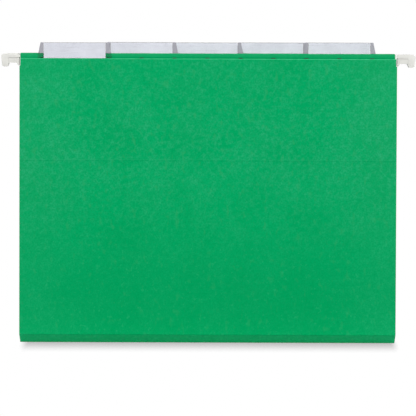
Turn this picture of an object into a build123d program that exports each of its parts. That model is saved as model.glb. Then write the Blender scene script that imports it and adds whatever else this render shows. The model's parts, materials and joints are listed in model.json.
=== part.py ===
from build123d import *
import math
import os

# Hanging file folder, in millimetres, +Z up.
# The origin lies midway between the four hook seats, at the height of the rails.
# +X is the right-hand side seen from the front, and the front faces -Y.

# Card
body_width = 298.45
body_height = 229.9
folder_depth = 16.0
card_thickness = 0.3
score_rise = 7.05  # from the bottom fold up to the two scores
crease_gap = 0.1  # between the round edge and the square edge at a crease

# Hanger rods
rod_thickness = 0.8
rod_height = 5.8
rod_crest_gap = 0.3  # between the rod's top edge and the card above it
rod_side_gap = 0.1
rod_top_below_arm = 0.2
rod_end_inset = 0.4  # from the hem's side edge in to the end of the rod's wide part

# Hook tips, with heights counted from the rail
tip_thickness = 1.8
tip_hem_gap = 0.9  # from the hem's side edge out to the tip
tip_corner_gap = 0.2  # from the tip's foot down to the panel's corner
arm_height = 7.4
arm_rib_height = 3.3  # the thick upper part of the arm
web_recess = 0.45  # depth of the thin lower part, on each side
web_reach = 0.4  # how far the thin part runs into the nose
web_corner_radius = 1.2
shoulder_width = 2.2
shoulder_foot_width = 0.8
shoulder_drop = 2.0
shoulder_corner_radius = 0.5
rail_notch_width = 5.9
notch_corner_radius = 1.2
nose_width = 6.3
nose_drop = 2.95
nose_outer_taper = 0.8  # how far the nose's outer edge leans in on its way down
nose_inner_taper = 1.2
nose_top_radius = 2.6
nose_outer_radius = 1.5
nose_inner_radius = 0.9
socket_length = 6.6
socket_margin = 0.75  # plastic above and below the tang
tang_gap = 0.1
tang_end_gap = 0.3

# Hem, slots and glue
ledge_drop = 4.05  # from the crest down to the slotted ledge
hem_side_trim = 0.7
slot_end_margin = 18.975  # from the panel's side edge to the middle of the last slot
slot_row_shift = -0.65  # of the whole row of slots along the folder, as punched
slot_clearance = 0.9  # on each side of a tongue
slot_rise = 0.7  # how far a slot runs up the strip from the ledge
flap_margin = 3.3  # straight flap below the tongues
flap_slant_height = 4.0
glue_height = 10.0
glue_thickness = 0.15

# Tabs and label inserts
vinyl_thickness = 0.25
insert_thickness = 0.2
insert_clearance = 0.05  # on each side of an insert
insert_end_margin = 2.3  # from a tab's upper corner to its insert
insert_top_gap = 0.1
insert_bottom_gap = 0.1
tab_height = 12.6
tab_side_slope = 2.7
tab_corner_radius = 0.5
tab_ear = 2.85  # beyond the tongue, at the ledge
tab_seat_gap = 0.1  # between a tab and the strip behind it
tab_ledge_gap = 0.05
tongue_width = 1.4
tongue_length = 7.0
tongue_corner_radius = 0.5

# Each tab's place, the panel that carries it and the face of that panel, with how far the tab has
# moved along its slots and up from its ledge, because a tab sits loosely
tab_seats = [
    ("far_left", "front", "outer", -0.8, 0.0),
    ("left", "front", "inner", 0.05, 0.3),
    ("centre", "rear", "inner", -0.45, 0.1),
    ("right", "rear", "outer", -0.8, 0.2),
    ("far_right", "rear", "inner", 0.45, 0.35),
]

# Heights worked out from the sizes above
rod_top = arm_height - rod_top_below_arm
crest_height = rod_top + rod_crest_gap + card_thickness
ledge_height = crest_height - ledge_drop
fold_height = crest_height - body_height + card_thickness / 2
score_height = fold_height + score_rise
flap_bottom = ledge_height - tongue_length - flap_margin
glue_top = flap_bottom - flap_slant_height
glue_bottom = glue_top - glue_height
tab_top = ledge_height + tab_height
rib_bottom = arm_height - arm_rib_height
tang_bottom = rib_bottom + socket_margin
tang_top = arm_height - socket_margin
trim_bottom = -shoulder_drop - tip_corner_gap

# Depths, with the hem's own counted from the middle of the hem
outer_face = -folder_depth / 2
score_depth = outer_face + card_thickness / 2
tab_thickness = 2 * (vinyl_thickness + insert_clearance) + insert_thickness
strip_inside = rod_thickness / 2 + rod_side_gap
strip_outside = strip_inside + card_thickness
hem_half = strip_outside + tab_thickness
hem_middle = outer_face + hem_half
tab_middle = hem_middle - strip_outside - tab_seat_gap - tab_thickness / 2

# Places along the folder
slot_count = 2 * len(tab_seats) + 1
slot_pitch = (body_width - 2 * slot_end_margin) / (slot_count - 1)
slot_centres = [slot_row_shift + (index - len(tab_seats)) * slot_pitch for index in range(slot_count)]
slot_length = tongue_width + 2 * slot_clearance
tab_half_bottom = slot_pitch + tongue_width / 2 + tab_ear
tab_half_top = tab_half_bottom - tab_side_slope
hem_edge = body_width / 2 - hem_side_trim
tip_start = hem_edge + tip_hem_gap
notch_start = tip_start + shoulder_width
notch_end = notch_start + rail_notch_width
tip_end = notch_end + nose_width


def bar(low_x, high_x, low_y, high_y):
    """A rectangle given by its edges."""
    middle = Pos((low_x + high_x) / 2, (low_y + high_y) / 2)
    return middle * Rectangle(high_x - low_x, high_y - low_y)


def block(low_x, high_x, low_y, high_y, low_z, high_z):
    """A box given by its faces."""
    middle = Pos((low_x + high_x) / 2, (low_y + high_y) / 2, (low_z + high_z) / 2)
    return middle * Box(high_x - low_x, high_y - low_y, high_z - low_z)


def along_x(section, width):
    """A section in Y and Z, drawn out to a width centred on X = 0."""
    return extrude(Plane.YZ * section, amount=width / 2, both=True)


def through_y(profile, depth, middle):
    """A profile in X and Z, drawn out to a depth about a middle in Y."""
    return Pos(0, middle, 0) * extrude(Plane.XZ * profile, amount=depth / 2, both=True)


def rounded_outline(*corners):
    """A flat face whose corners are given as two coordinates and a radius, 0 for a sharp one."""
    points = [corner[:2] for corner in corners]
    radii = [corner[2] for corner in corners]
    return make_face(FilletPolyline(*points, radius=radii, close=True))


def half_ring(middle, base, outside, inside):
    """An arch of the given radii, standing on a base height."""
    ring = Pos(middle, base) * (Circle(outside) - Circle(inside))
    return ring & bar(middle - outside, middle + outside, base, base + outside)


def hem_section():
    """The card's fold over the rod, with a ledge on both faces, down to the flap's glued edge."""
    crest_base = crest_height - strip_outside
    ledge_bottom = ledge_height - card_thickness
    section = half_ring(hem_middle, crest_base, strip_outside, strip_inside)
    for side in (-1, 1):
        strip = sorted((hem_middle + side * strip_inside, hem_middle + side * strip_outside))
        ledge = sorted((hem_middle + side * strip_inside, hem_middle + side * hem_half))
        section += bar(*strip, ledge_bottom, crest_base)
        section += bar(*ledge, ledge_bottom, ledge_height)
    flap = (hem_middle + hem_half - card_thickness, hem_middle + hem_half)
    glued = (outer_face + card_thickness + glue_thickness, outer_face + 2 * card_thickness + glue_thickness)
    section += bar(*flap, flap_bottom, ledge_height)
    section += bar(*glued, glue_bottom, glue_top)
    slant = Polyline(
        (flap[0], flap_bottom), (flap[1], flap_bottom), (glued[1], glue_top), (glued[0], glue_top), close=True
    )
    return section + make_face(slant)


def front_panel():
    """The front leaf with its hem, its trimmed sides and the slots in both ledges."""
    leaf_bottom = score_height + card_thickness / 2 + crease_gap
    leaf = bar(outer_face, outer_face + card_thickness, leaf_bottom, ledge_height)
    panel = along_x(leaf + hem_section(), body_width)
    for side in (-1, 1):
        trim = sorted((side * body_width / 2, side * hem_edge))
        panel -= block(*trim, outer_face, 0, trim_bottom, crest_height)
        reach = sorted((hem_middle + side * strip_inside, hem_middle + side * (hem_half - card_thickness)))
        rise = (ledge_height - card_thickness, ledge_height + slot_rise)
        slot = block(-slot_length / 2, slot_length / 2, *reach, *rise)
        panel -= [Pos(centre, 0, 0) * slot for centre in slot_centres]
    return panel


def front_glue():
    """The line of glue between the leaf and the end of the flap."""
    low_y = outer_face + card_thickness
    return along_x(bar(low_y, low_y + glue_thickness, glue_bottom, glue_top), body_width)


def front_strip(fold_is_round):
    """The strip from the front score to the bottom fold.

    Its edge at the score is round about the crease's axis. At the bottom fold one strip's edge is round
    and the other's is square and set back, so that the two turn about one axis.
    """
    run = Vector(-score_depth, fold_height - score_height)
    set_back = card_thickness / 2 + crease_gap
    end = run.length if fold_is_round else run.length - set_back
    section = bar(0, end, -card_thickness / 2, card_thickness / 2) + Circle(card_thickness / 2)
    if fold_is_round:
        section += Pos(end, 0) * Circle(card_thickness / 2)
    tilt = math.degrees(math.atan2(run.Y, run.X))
    return along_x(Pos(score_depth, score_height) * Rot(0, 0, tilt) * section, body_width)


def front_rod():
    """The flat steel strip in the hem, with a narrow tang at each end."""
    sides = (hem_middle - rod_thickness / 2, hem_middle + rod_thickness / 2)
    shoulder = hem_edge - rod_end_inset
    tang_end = tip_start + socket_length - tang_end_gap
    rod = block(-shoulder, shoulder, *sides, rod_top - rod_height, rod_top)
    return rod + block(-tang_end, tang_end, *sides, tang_bottom, tang_top)


def front_right_tip():
    """The moulded hook on the rod's end: shoulder, arm with a thin lower web, and hanging nose."""
    profile = rounded_outline(
        (tip_start, arm_height, 0),
        (tip_end, arm_height, nose_top_radius),
        (tip_end - nose_outer_taper, -nose_drop, nose_outer_radius),
        (notch_end + nose_inner_taper, -nose_drop, nose_inner_radius),
        (notch_end, 0, notch_corner_radius),
        (notch_start, 0, shoulder_corner_radius),
        (tip_start + shoulder_foot_width, -shoulder_drop, 0),
        (tip_start, -shoulder_drop, 0),
    )
    tip = through_y(profile, tip_thickness, hem_middle)
    thin_part = rounded_outline(
        (tip_start, rib_bottom, 0),
        (notch_end + web_reach, rib_bottom, web_corner_radius),
        (notch_end + web_reach, -nose_drop, 0),
        (tip_start, -nose_drop, 0),
    )
    for side in (-1, 1):
        tip -= through_y(thin_part, web_recess, hem_middle + side * (tip_thickness - web_recess) / 2)
    socket_half = rod_thickness / 2 + tang_gap
    return tip - block(
        tip_start,
        tip_start + socket_length,
        hem_middle - socket_half,
        hem_middle + socket_half,
        tang_bottom - tang_gap,
        tang_top + tang_gap,
    )


def tab():
    """A clear tab folded at its top, on the outer face of the front hem about X = 0."""
    half = tab_thickness / 2
    base = ledge_height + tab_ledge_gap
    fold_base = tab_top - half
    back = (tab_middle + half - vinyl_thickness, tab_middle + half)
    section = half_ring(tab_middle, fold_base, half, half - vinyl_thickness)
    section += bar(tab_middle - half, tab_middle - half + vinyl_thickness, base, fold_base)
    section += bar(*back, base, fold_base)
    shape = rounded_outline(
        (-tab_half_bottom, base, 0),
        (tab_half_bottom, base, 0),
        (tab_half_top, tab_top, tab_corner_radius),
        (-tab_half_top, tab_top, tab_corner_radius),
    )
    folded = along_x(section, 2 * tab_half_bottom) & through_y(shape, 2 * tab_thickness, tab_middle)
    tongue = rounded_outline(
        (-tongue_width / 2, ledge_height - tongue_length, tongue_corner_radius),
        (tongue_width / 2, ledge_height - tongue_length, tongue_corner_radius),
        (tongue_width / 2, base, 0),
        (-tongue_width / 2, base, 0),
    )
    for side in (-1, 1):
        folded += Pos(side * slot_pitch, 0, 0) * through_y(tongue, vinyl_thickness, sum(back) / 2)
    return folded


def label_insert():
    """The paper slip inside a tab, on the outer face of the front hem about X = 0."""
    half_width = tab_half_top - insert_end_margin
    half_depth = insert_thickness / 2
    top = tab_top - tab_thickness / 2 - insert_top_gap
    return block(
        -half_width,
        half_width,
        tab_middle - half_depth,
        tab_middle + half_depth,
        ledge_height + insert_bottom_gap,
        top,
    )


def rear_copy(solid):
    """The rear twin of a front piece."""
    return mirror(solid, about=Plane.XZ)


def seated(solid, panel, face, place_x, lift):
    """A tab or an insert moved to its own seat."""
    if face == "inner":
        solid = mirror(solid, about=Plane.XZ.offset(-hem_middle))
    if panel == "rear":
        solid = rear_copy(solid)
    return Pos(place_x, 0, lift) * solid


nodes = {
    "front_panel": front_panel(),
    "front_hem_glue": front_glue(),
    "front_hanger_rod": front_rod(),
    "front_right_hook_tip": front_right_tip(),
}
nodes["front_left_hook_tip"] = mirror(nodes["front_right_hook_tip"], about=Plane.YZ)
for name, solid in list(nodes.items()):
    nodes[name.replace("front", "rear")] = rear_copy(solid)
nodes["front_bottom_strip"] = front_strip(fold_is_round=False)
nodes["rear_bottom_strip"] = rear_copy(front_strip(fold_is_round=True))
for index, (place, panel, face, shift, lift) in enumerate(tab_seats):
    seat = (panel, face, slot_centres[2 * index + 1] + shift, lift)
    nodes[f"tab_{place}"] = seated(tab(), *seat)
    nodes[f"label_insert_{place}"] = seated(label_insert(), *seat)

os.makedirs("parts", exist_ok=True)
for name, solid in nodes.items():
    export_step(solid, f"parts/{name}.step")
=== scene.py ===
"""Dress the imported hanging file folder: card leaves, creases, hook tips, clear tabs and label inserts."""
import json
import logging
import math
from collections.abc import Callable, Iterable, Sequence
from dataclasses import dataclass
from enum import Enum

import bmesh
import bpy
from mathutils import Euler, Matrix, Vector, noise


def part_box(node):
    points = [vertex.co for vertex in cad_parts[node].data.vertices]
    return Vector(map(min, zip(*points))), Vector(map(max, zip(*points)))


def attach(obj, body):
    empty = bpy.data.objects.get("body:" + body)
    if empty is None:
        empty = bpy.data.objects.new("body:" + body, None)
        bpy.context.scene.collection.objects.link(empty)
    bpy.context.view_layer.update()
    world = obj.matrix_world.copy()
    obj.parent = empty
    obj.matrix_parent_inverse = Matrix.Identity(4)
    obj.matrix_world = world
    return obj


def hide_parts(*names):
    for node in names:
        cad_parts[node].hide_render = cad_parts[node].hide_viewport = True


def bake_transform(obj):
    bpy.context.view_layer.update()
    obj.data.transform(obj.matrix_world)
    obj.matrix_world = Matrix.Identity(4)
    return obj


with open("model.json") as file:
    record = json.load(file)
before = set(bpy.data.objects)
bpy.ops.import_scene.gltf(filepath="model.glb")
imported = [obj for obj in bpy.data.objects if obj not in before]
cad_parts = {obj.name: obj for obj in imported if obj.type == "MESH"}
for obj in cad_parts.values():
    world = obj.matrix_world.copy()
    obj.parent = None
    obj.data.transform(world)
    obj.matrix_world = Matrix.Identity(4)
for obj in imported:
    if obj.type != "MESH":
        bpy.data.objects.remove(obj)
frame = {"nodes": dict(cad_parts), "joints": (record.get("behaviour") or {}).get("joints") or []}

log = logging.getLogger("folder")

MM = 0.001

Triple = tuple[float, float, float]
Colour = Triple
Point2 = tuple[float, float]
Settings = dict[str, object]
Inputs = dict[object, object]
Row = list[bmesh.types.BMVert]
Piece = bpy.types.Object
Material = bpy.types.Material

WHITE: Colour = (1.0, 1.0, 1.0)


class Side(Enum):
    """A leaf of the folder, with the sign of its Y."""

    FRONT = -1
    REAR = 1

    @property
    def word(self) -> str:
        """The name that the CAD uses for this side."""
        return self.name.lower()


# Shader and geometry node graphs


def operator(operation: str, swapped: bool = False) -> Callable[..., "Value"]:
    """Make a method of Value that adds one Math node.

    Args:
        operation: the Math node's operation.
        swapped: True for a reflected form, where the other operand comes first.

    Returns:
        The method.
    """

    def method(self: "Value", other: object = 0.0) -> "Value":
        """Apply the operation to this value and to another value or number."""
        operands = (other, self) if swapped else (self, other)
        return self.graph.value("ShaderNodeMath", {"operation": operation}, dict(enumerate(operands)))

    return method


class Value:
    """A node's output socket that takes part in Python expressions."""

    def __init__(self, graph: "Graph", socket: bpy.types.NodeSocket) -> None:
        """Keep the socket and the graph that it belongs to."""
        self.graph = graph
        self.socket = socket

    __add__ = operator("ADD")
    __radd__ = operator("ADD", swapped=True)
    __sub__ = operator("SUBTRACT")
    __rsub__ = operator("SUBTRACT", swapped=True)
    __mul__ = operator("MULTIPLY")
    __rmul__ = operator("MULTIPLY", swapped=True)
    __truediv__ = operator("DIVIDE")
    __rtruediv__ = operator("DIVIDE", swapped=True)
    __abs__ = operator("ABSOLUTE")
    root = operator("SQRT")
    larger = operator("MAXIMUM")

    def ramp(self, low: float, high: float) -> "Value":
        """A smooth step from 0 at low to 1 at high; high may be the smaller one."""
        span = {"Value": self, "From Min": low, "From Max": high, "To Min": 0.0, "To Max": 1.0}
        return self.graph.value("ShaderNodeMapRange", {"interpolation_type": "SMOOTHSTEP"}, span)

    def band(self, middle: float, inner: float, outer: float) -> "Value":
        """1 within the inner distance of a middle, falling to 0 at the outer distance."""
        return 1.0 - abs(self - middle).ramp(inner, outer)


class Graph:
    """A node tree that is filled from Python."""

    COLOUR_MIX: Settings = {"data_type": "RGBA", "clamp_factor": True}

    def __init__(self, tree: bpy.types.NodeTree) -> None:
        """Start from an empty tree."""
        self.tree = tree
        tree.nodes.clear()

    def add(
        self, kind: str, settings: Settings | None = None, inputs: Inputs | None = None
    ) -> bpy.types.Node:
        """Add one node.

        Args:
            kind: the node's type name.
            settings: attributes that are set first.
            inputs: values or Values for its sockets, by index, identifier or name.

        Returns:
            The new node.
        """
        node = self.tree.nodes.new(kind)
        for name, value in (settings or {}).items():
            setattr(node, name, value)
        for key, value in (inputs or {}).items():
            socket = self.socket(node.inputs, key)
            if isinstance(value, Value):
                self.tree.links.new(value.socket, socket)
            elif socket.type == "RGBA":
                socket.default_value = (*value, 1.0)
            else:
                socket.default_value = value
        return node

    @staticmethod
    def socket(sockets: Sequence[bpy.types.NodeSocket], key: object) -> bpy.types.NodeSocket:
        """The socket with an identifier or else with an index or a name."""
        named = {socket.identifier: socket for socket in sockets}
        return named[key] if key in named else sockets[key]

    def out(self, node: bpy.types.Node, key: object = 0) -> Value:
        """A node's output as a Value."""
        return Value(self, self.socket(node.outputs, key))

    def value(
        self,
        kind: str,
        settings: Settings | None = None,
        inputs: Inputs | None = None,
        output: object = 0,
    ) -> Value:
        """Add one node and give one of its outputs as a Value."""
        return self.out(self.add(kind, settings, inputs), output)

    def colours(self, factor: object, first: object, second: object) -> Value:
        """Mix two colours by a factor."""
        inputs = {"Factor_Float": factor, "A_Color": first, "B_Color": second}
        return self.value("ShaderNodeMix", self.COLOUR_MIX, inputs, "Result_Color")


@dataclass(frozen=True)
class Pattern:
    """Noise over a surface, and the stretch of it that a mask is made from.

    The scale is in cycles per metre, for all axes or for each, and the turn about Y is in radians.
    """

    scale: float | Triple
    detail: float
    start: float = 0.0
    end: float = 1.0
    turn: float = 0.0


@dataclass(frozen=True)
class Share:
    """A strength that grows with a mask."""

    base: float
    more: float

    def along(self, mask: Value) -> Value:
        """The base where the mask is 0, and more where it rises to 1."""
        return self.base + self.more * mask


class Surface(Graph):
    """A material's graph: Object coordinates in, one Principled surface out."""

    def __init__(self, name: str) -> None:
        """Make the material and its texture coordinates.

        Args:
            name: the material's name.
        """
        self.material = bpy.data.materials.new(name)
        self.material.use_nodes = True
        super().__init__(self.material.node_tree)
        self.place = self.value("ShaderNodeTexCoord", output="Object")

    def noise(self, pattern: Pattern) -> Value:
        """Add a pattern's noise.

        Args:
            pattern: the noise's scale, detail and turn.

        Returns:
            The noise, between 0 and 1.
        """
        place, scale = self.place, pattern.scale
        if isinstance(scale, tuple):
            stretch = {"Vector": place, "Scale": scale, "Rotation": (0.0, pattern.turn, 0.0)}
            place, scale = self.value("ShaderNodeMapping", inputs=stretch), 1.0
        inputs = {"Vector": place, "Scale": scale, "Detail": pattern.detail}
        return self.value("ShaderNodeTexNoise", inputs=inputs)

    def mask(self, pattern: Pattern) -> Value:
        """A pattern's noise as a smooth mask between 0 and 1."""
        return self.noise(pattern).ramp(pattern.start, pattern.end)

    def axis(self, letter: str) -> Value:
        """One coordinate of the place on the object."""
        return self.value("ShaderNodeSeparateXYZ", inputs={"Vector": self.place}, output=letter)

    def attribute(self, name: str) -> Value:
        """A float attribute of the mesh."""
        return self.value("ShaderNodeAttribute", {"attribute_name": name}, output="Fac")

    def bump(self, height: Value, distance: float, strength: float) -> Value:
        """A normal that follows a height between 0 and 1, with its distance in metres."""
        inputs = {"Height": height, "Distance": distance, "Strength": strength}
        return self.value("ShaderNodeBump", inputs=inputs)

    def finish(self, inputs: Inputs) -> Material:
        """Close the graph with a Principled surface.

        Args:
            inputs: values or Values for the surface's sockets.

        Returns:
            The material.
        """
        shader = self.value("ShaderNodeBsdfPrincipled", inputs=inputs)
        self.add("ShaderNodeOutputMaterial", inputs={"Surface": shader})
        return self.material


# Finishes


@dataclass(frozen=True)
class CardFinish:
    """Dyed fibre card: cloudy green, darker low down and paler higher up and towards the sides, with short
    fibres, rubbed folds and edges with painted highlights, and painted shade in its grooves.
    """

    green: Colour = (0.0008, 0.376, 0.122)
    deep: Colour = (0.0001, 0.326, 0.095)
    low: Colour = (0.0001, 0.298, 0.090)
    pale: Colour = (0.0235, 0.408, 0.174)
    fleck: Colour = (0.0300, 0.440, 0.185)
    dusky: Colour = (0.0003, 0.275, 0.080)
    brown: Colour = (0.032, 0.352, 0.128)
    # Paler colour of rubbed card, also used as a painted highlight on the rounded edges of the ledge and
    # the crest and as painted light over the bottom strips.
    rubbed_and_lit: Colour = (0.046, 0.490, 0.216)
    # Darker tone of the hem strip above the ledge.
    pressed: Colour = (0.002, 0.302, 0.098)
    shaded: Colour = (0.001, 0.220, 0.070)
    clouds: Pattern = Pattern(26.0, 3.0, 0.30, 0.70)
    mottle: Pattern = Pattern(320.0, 3.0, 0.36, 0.74)
    grain: Pattern = Pattern(760.0, 2.0, 0.30, 0.70)
    patches: Pattern = Pattern(34.0, 2.0, 0.30, 0.70)
    flecks: Pattern = Pattern(420.0, 1.0, 0.64, 0.76)
    specks: Pattern = Pattern((230.0, 230.0, 150.0), 1.0, 0.58, 0.80)
    fibres: Pattern = Pattern((420.0, 420.0, 2600.0), 2.0, 0.58, 0.74, turn=0.6)
    crossing: Pattern = Pattern((2600.0, 420.0, 420.0), 2.0, 0.58, 0.74, turn=0.9)
    relief: Pattern = Pattern(1800.0, 3.0)
    low_start: float = -100.0 * MM
    low_end: float = -215.0 * MM
    low_fade: float = 0.5 * MM
    raised_start: float = -175.0 * MM
    raised_end: float = -55.0 * MM
    top: float = 8.0 * MM
    sides_start: float = 90.0 * MM
    sides_end: float = 150.0 * MM
    # A line pressed across the leaf, drawn as a band of painted shade with a band of painted highlight just
    # above it.
    press_line: float = -77.2 * MM
    highlight_offset: float = 1.0 * MM
    press_inner: float = 0.2 * MM
    press_outer: float = 0.6 * MM
    cloud_share: float = 0.5
    low_share: float = 0.9
    mottle_share: Share = Share(0.12, 0.50)
    upper_drop: float = 0.12
    side_mottle: Share = Share(0.06, 0.04)
    patch_share: Share = Share(0.06, 0.14)
    side_share: Share = Share(0.12, 0.04)
    grain_share: float = 0.56
    fleck_share: float = 0.20
    fibre_share: float = 0.12
    speck_share: Share = Share(0.22, 0.16)
    side_warmth: float = 0.07
    # Strengths of the darker hem strip, the painted shade in the groove and on the pressed line, the
    # painted highlight above that line, and the wear with its painted highlights.
    darker_strip_share: float = 0.85
    groove_shade_share: float = 0.6
    dent_shade_share: float = 0.20
    lip_highlight_share: float = 0.06
    wear_and_light_share: Share = Share(0.65, 0.35)
    relief_grain: float = 0.6
    relief_fibre: float = 0.2
    roughness: Share = Share(0.82, 0.14)

    def dyed(self, surface: Surface, mottle: Value, fibres: Value) -> Value:
        """Colour the plain card, deeper low down and paler higher up and at the sides.

        Args:
            surface: the material's graph.
            mottle: the mask of the mottled dye.
            fibres: the mask of the fibres.

        Returns:
            The colour.
        """
        height = surface.axis("Z")
        raised = height.ramp(self.raised_start, self.raised_end)
        upper = height.ramp(self.raised_end, self.top)
        sides = abs(surface.axis("X")).ramp(self.sides_start, self.sides_end)
        colour = surface.colours(surface.mask(self.clouds) * self.cloud_share, self.green, self.deep)
        below = height.ramp(self.low_end + self.low_fade, self.low_end - self.low_fade)
        lowest = surface.colours(below, self.low, self.deep)
        lowered = height.ramp(self.low_start, self.low_end)
        lowered = lowered * (1.0 - sides * (1.0 - lowered))
        colour = surface.colours(lowered * self.low_share, colour, lowest)
        strength = self.mottle_share.along(raised) - self.upper_drop * upper
        paler = mottle * (strength + sides * self.side_mottle.along(raised))
        paler = paler + surface.mask(self.patches) * self.patch_share.along(raised)
        paler = paler + sides * self.side_share.along(raised)
        colour = surface.colours(paler, colour, self.pale)
        colour = surface.colours(surface.mask(self.grain) * self.grain_share, colour, self.dusky)
        flecks = surface.mask(self.flecks) * self.fleck_share + fibres * self.fibre_share
        colour = surface.colours(flecks, colour, self.fleck)
        specks = surface.mask(self.specks) * self.speck_share.along(raised)
        return surface.colours(specks + sides * self.side_warmth * raised, colour, self.brown)

    def marks_and_painted_light(self, surface: Surface, colour: Value, mottle: Value) -> Value:
        """Add the darker hem strip, painted shade in its groove, the pressed line as painted shade with a
        painted highlight above it, and the rubbed folds and edges with their painted highlights.

        Args:
            surface: the material's graph.
            colour: the plain card's colour.
            mottle: the mask that breaks up the wear and its painted highlights.

        Returns:
            The colour with these marks.
        """
        height = surface.axis("Z")
        # Darker on the hem strip above the ledge.
        colour = surface.colours(surface.attribute("pressed") * self.darker_strip_share, colour, self.pressed)
        # Painted shade: a dark band along the pressed line.
        dent_shade = height.band(self.press_line, self.press_inner, self.press_outer)
        # Painted shade: darker along the foot of the hem strip, where the ledge's groove is in shade.
        groove = surface.attribute("groove") * self.groove_shade_share
        colour = surface.colours(groove.larger(dent_shade * self.dent_shade_share), colour, self.shaded)
        # Painted highlight: a pale band just above the pressed line.
        lip_highlight = height.band(self.press_line + self.highlight_offset, self.press_inner, self.press_outer)
        # Wear and painted highlight: paler on the rubbed folds, on the rounded edges of the ledge and the
        # crest, and over the bottom strips as painted light.
        worn_and_lit = surface.attribute("wear") * self.wear_and_light_share.along(mottle)
        return surface.colours((lip_highlight * self.lip_highlight_share).larger(worn_and_lit), colour, self.rubbed_and_lit)

    def material(self) -> Material:
        """Build the material.

        Returns:
            The material.
        """
        surface = Surface("card")
        mottle = surface.mask(self.mottle)
        fibres = surface.mask(self.fibres) + surface.mask(self.crossing)
        relief = surface.noise(self.relief) * self.relief_grain + fibres * self.relief_fibre
        return surface.finish(
            {
                "Base Color": self.marks_and_painted_light(surface, self.dyed(surface, mottle, fibres), mottle),
                "Roughness": self.roughness.along(mottle),
                "Specular IOR Level": 0.0,
                "Normal": surface.bump(relief, distance=0.05 * MM, strength=0.5),
            }
        )


@dataclass(frozen=True)
class VinylFinish:
    """Clear smoky vinyl, grey in the ears beside the label and clearer at the foot."""

    name: str = "vinyl"
    tint: Colour = (0.004, 0.006, 0.010)
    grey: Colour = (0.440, 0.437, 0.487)
    window_alpha: float = 0.06
    ear_alpha: float = 0.64
    foot_alpha: float = 0.028
    haze: Pattern = Pattern(90.0, 2.0, 0.3, 0.7)
    scuffs: Pattern = Pattern((60.0, 60.0, 900.0), 1.0, 0.62, 0.70, turn=0.3)
    ripple: Pattern = Pattern(160.0, 1.0)
    mark_alpha: float = 0.02
    haze_share: float = 0.08
    roughness: Share = Share(0.10, 0.12)
    scuff_roughness: float = 0.1
    refraction: float = 1.53

    def material(self) -> Material:
        """Build the material.

        Returns:
            The material.
        """
        surface = Surface(self.name)
        haze = surface.mask(self.haze)
        scuffs = surface.mask(self.scuffs)
        ear = surface.attribute("ear")
        foot = surface.attribute("foot")
        smoky = ear * (1.0 - foot)
        alpha = self.window_alpha + (self.ear_alpha - self.window_alpha) * smoky
        alpha = alpha + (self.foot_alpha - self.window_alpha) * (ear * foot)
        clear = surface.colours(haze * self.haze_share, self.tint, self.grey)
        return surface.finish(
            {
                "Base Color": surface.colours(smoky, clear, self.grey),
                "Roughness": self.roughness.along(haze) + self.scuff_roughness * scuffs,
                "IOR": self.refraction,
                "Alpha": alpha + self.mark_alpha * haze + self.mark_alpha * scuffs,
                "Normal": surface.bump(surface.noise(self.ripple), distance=0.03 * MM, strength=0.3),
            }
        )


@dataclass(frozen=True)
class PaperFinish:
    """Plain white paper with a faint cool cast."""

    white: Colour = (0.872, 0.890, 0.970)
    shade: Colour = (0.815, 0.830, 0.920)
    clouds: Pattern = Pattern(300.0, 3.0, 0.35, 0.75)
    grain: Pattern = Pattern(2600.0, 2.0)
    cloud_share: float = 0.5
    roughness: Share = Share(0.85, 0.1)
    gloss: float = 0.25

    def material(self) -> Material:
        """Build the material.

        Returns:
            The material.
        """
        surface = Surface("paper")
        clouds = surface.mask(self.clouds)
        return surface.finish(
            {
                "Base Color": surface.colours(clouds * self.cloud_share, self.white, self.shade),
                "Roughness": self.roughness.along(clouds),
                "Specular IOR Level": self.gloss,
                "Normal": surface.bump(surface.noise(self.grain), distance=0.02 * MM, strength=0.4),
            }
        )


@dataclass(frozen=True)
class MouldedFinish:
    """Off-white moulded plastic with a satin skin, a little dirt on it, and painted shade under its rib and
    beside its nose.
    """

    cream: Colour = (0.72, 0.72, 0.68)
    # Dirt colour, also used as painted shade under the rib and beside the nose.
    grime_and_shade: Colour = (0.50, 0.49, 0.46)
    swirl: Pattern = Pattern(180.0, 3.0, 0.4, 0.75)
    specks: Pattern = Pattern(900.0, 1.0, 0.72, 0.8)
    skin: Pattern = Pattern(2200.0, 2.0)
    rib_bottom: float = 4.1 * MM
    nose_inside: float = 157.925 * MM
    # Width and fade of the painted shade lines under the rib and beside the nose.
    shade_line_width: float = 0.16 * MM
    shade_line_fade: float = 2.2
    swirl_share: float = 0.18
    speck_share: float = 0.25
    # Strengths of the painted shade lines.
    recess_shade_share: float = 0.6
    nose_shade_share: float = 0.5
    roughness: Share = Share(0.38, 0.18)

    def material(self) -> Material:
        """Build the material.

        Returns:
            The material.
        """
        surface = Surface("moulded")
        across = abs(surface.axis("X"))
        height = surface.axis("Z")
        swirl = surface.mask(self.swirl)
        colour = surface.colours(swirl * self.swirl_share, self.cream, self.grime_and_shade)
        colour = surface.colours(surface.mask(self.specks) * self.speck_share, colour, self.grime_and_shade)
        # Painted shade: dark lines under the rib and in the recess beside the nose, where the recess lies
        # in shade.
        edge = (self.shade_line_width, self.shade_line_fade * self.shade_line_width)
        under_rib_shade = height.band(self.rib_bottom, *edge)
        under_rib_shade = under_rib_shade * across.ramp(self.nose_inside, self.nose_inside - self.shade_line_width)
        beside_nose_shade = across.band(self.nose_inside, *edge)
        beside_nose_shade = beside_nose_shade * height.ramp(self.rib_bottom + self.shade_line_width, self.rib_bottom)
        recess_shades = under_rib_shade.larger(beside_nose_shade * self.nose_shade_share)
        return surface.finish(
            {
                "Base Color": surface.colours(recess_shades * self.recess_shade_share, colour, self.grime_and_shade),
                "Roughness": self.roughness.along(swirl),
                "Normal": surface.bump(surface.noise(self.skin), distance=0.02 * MM, strength=0.35),
            }
        )


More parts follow.
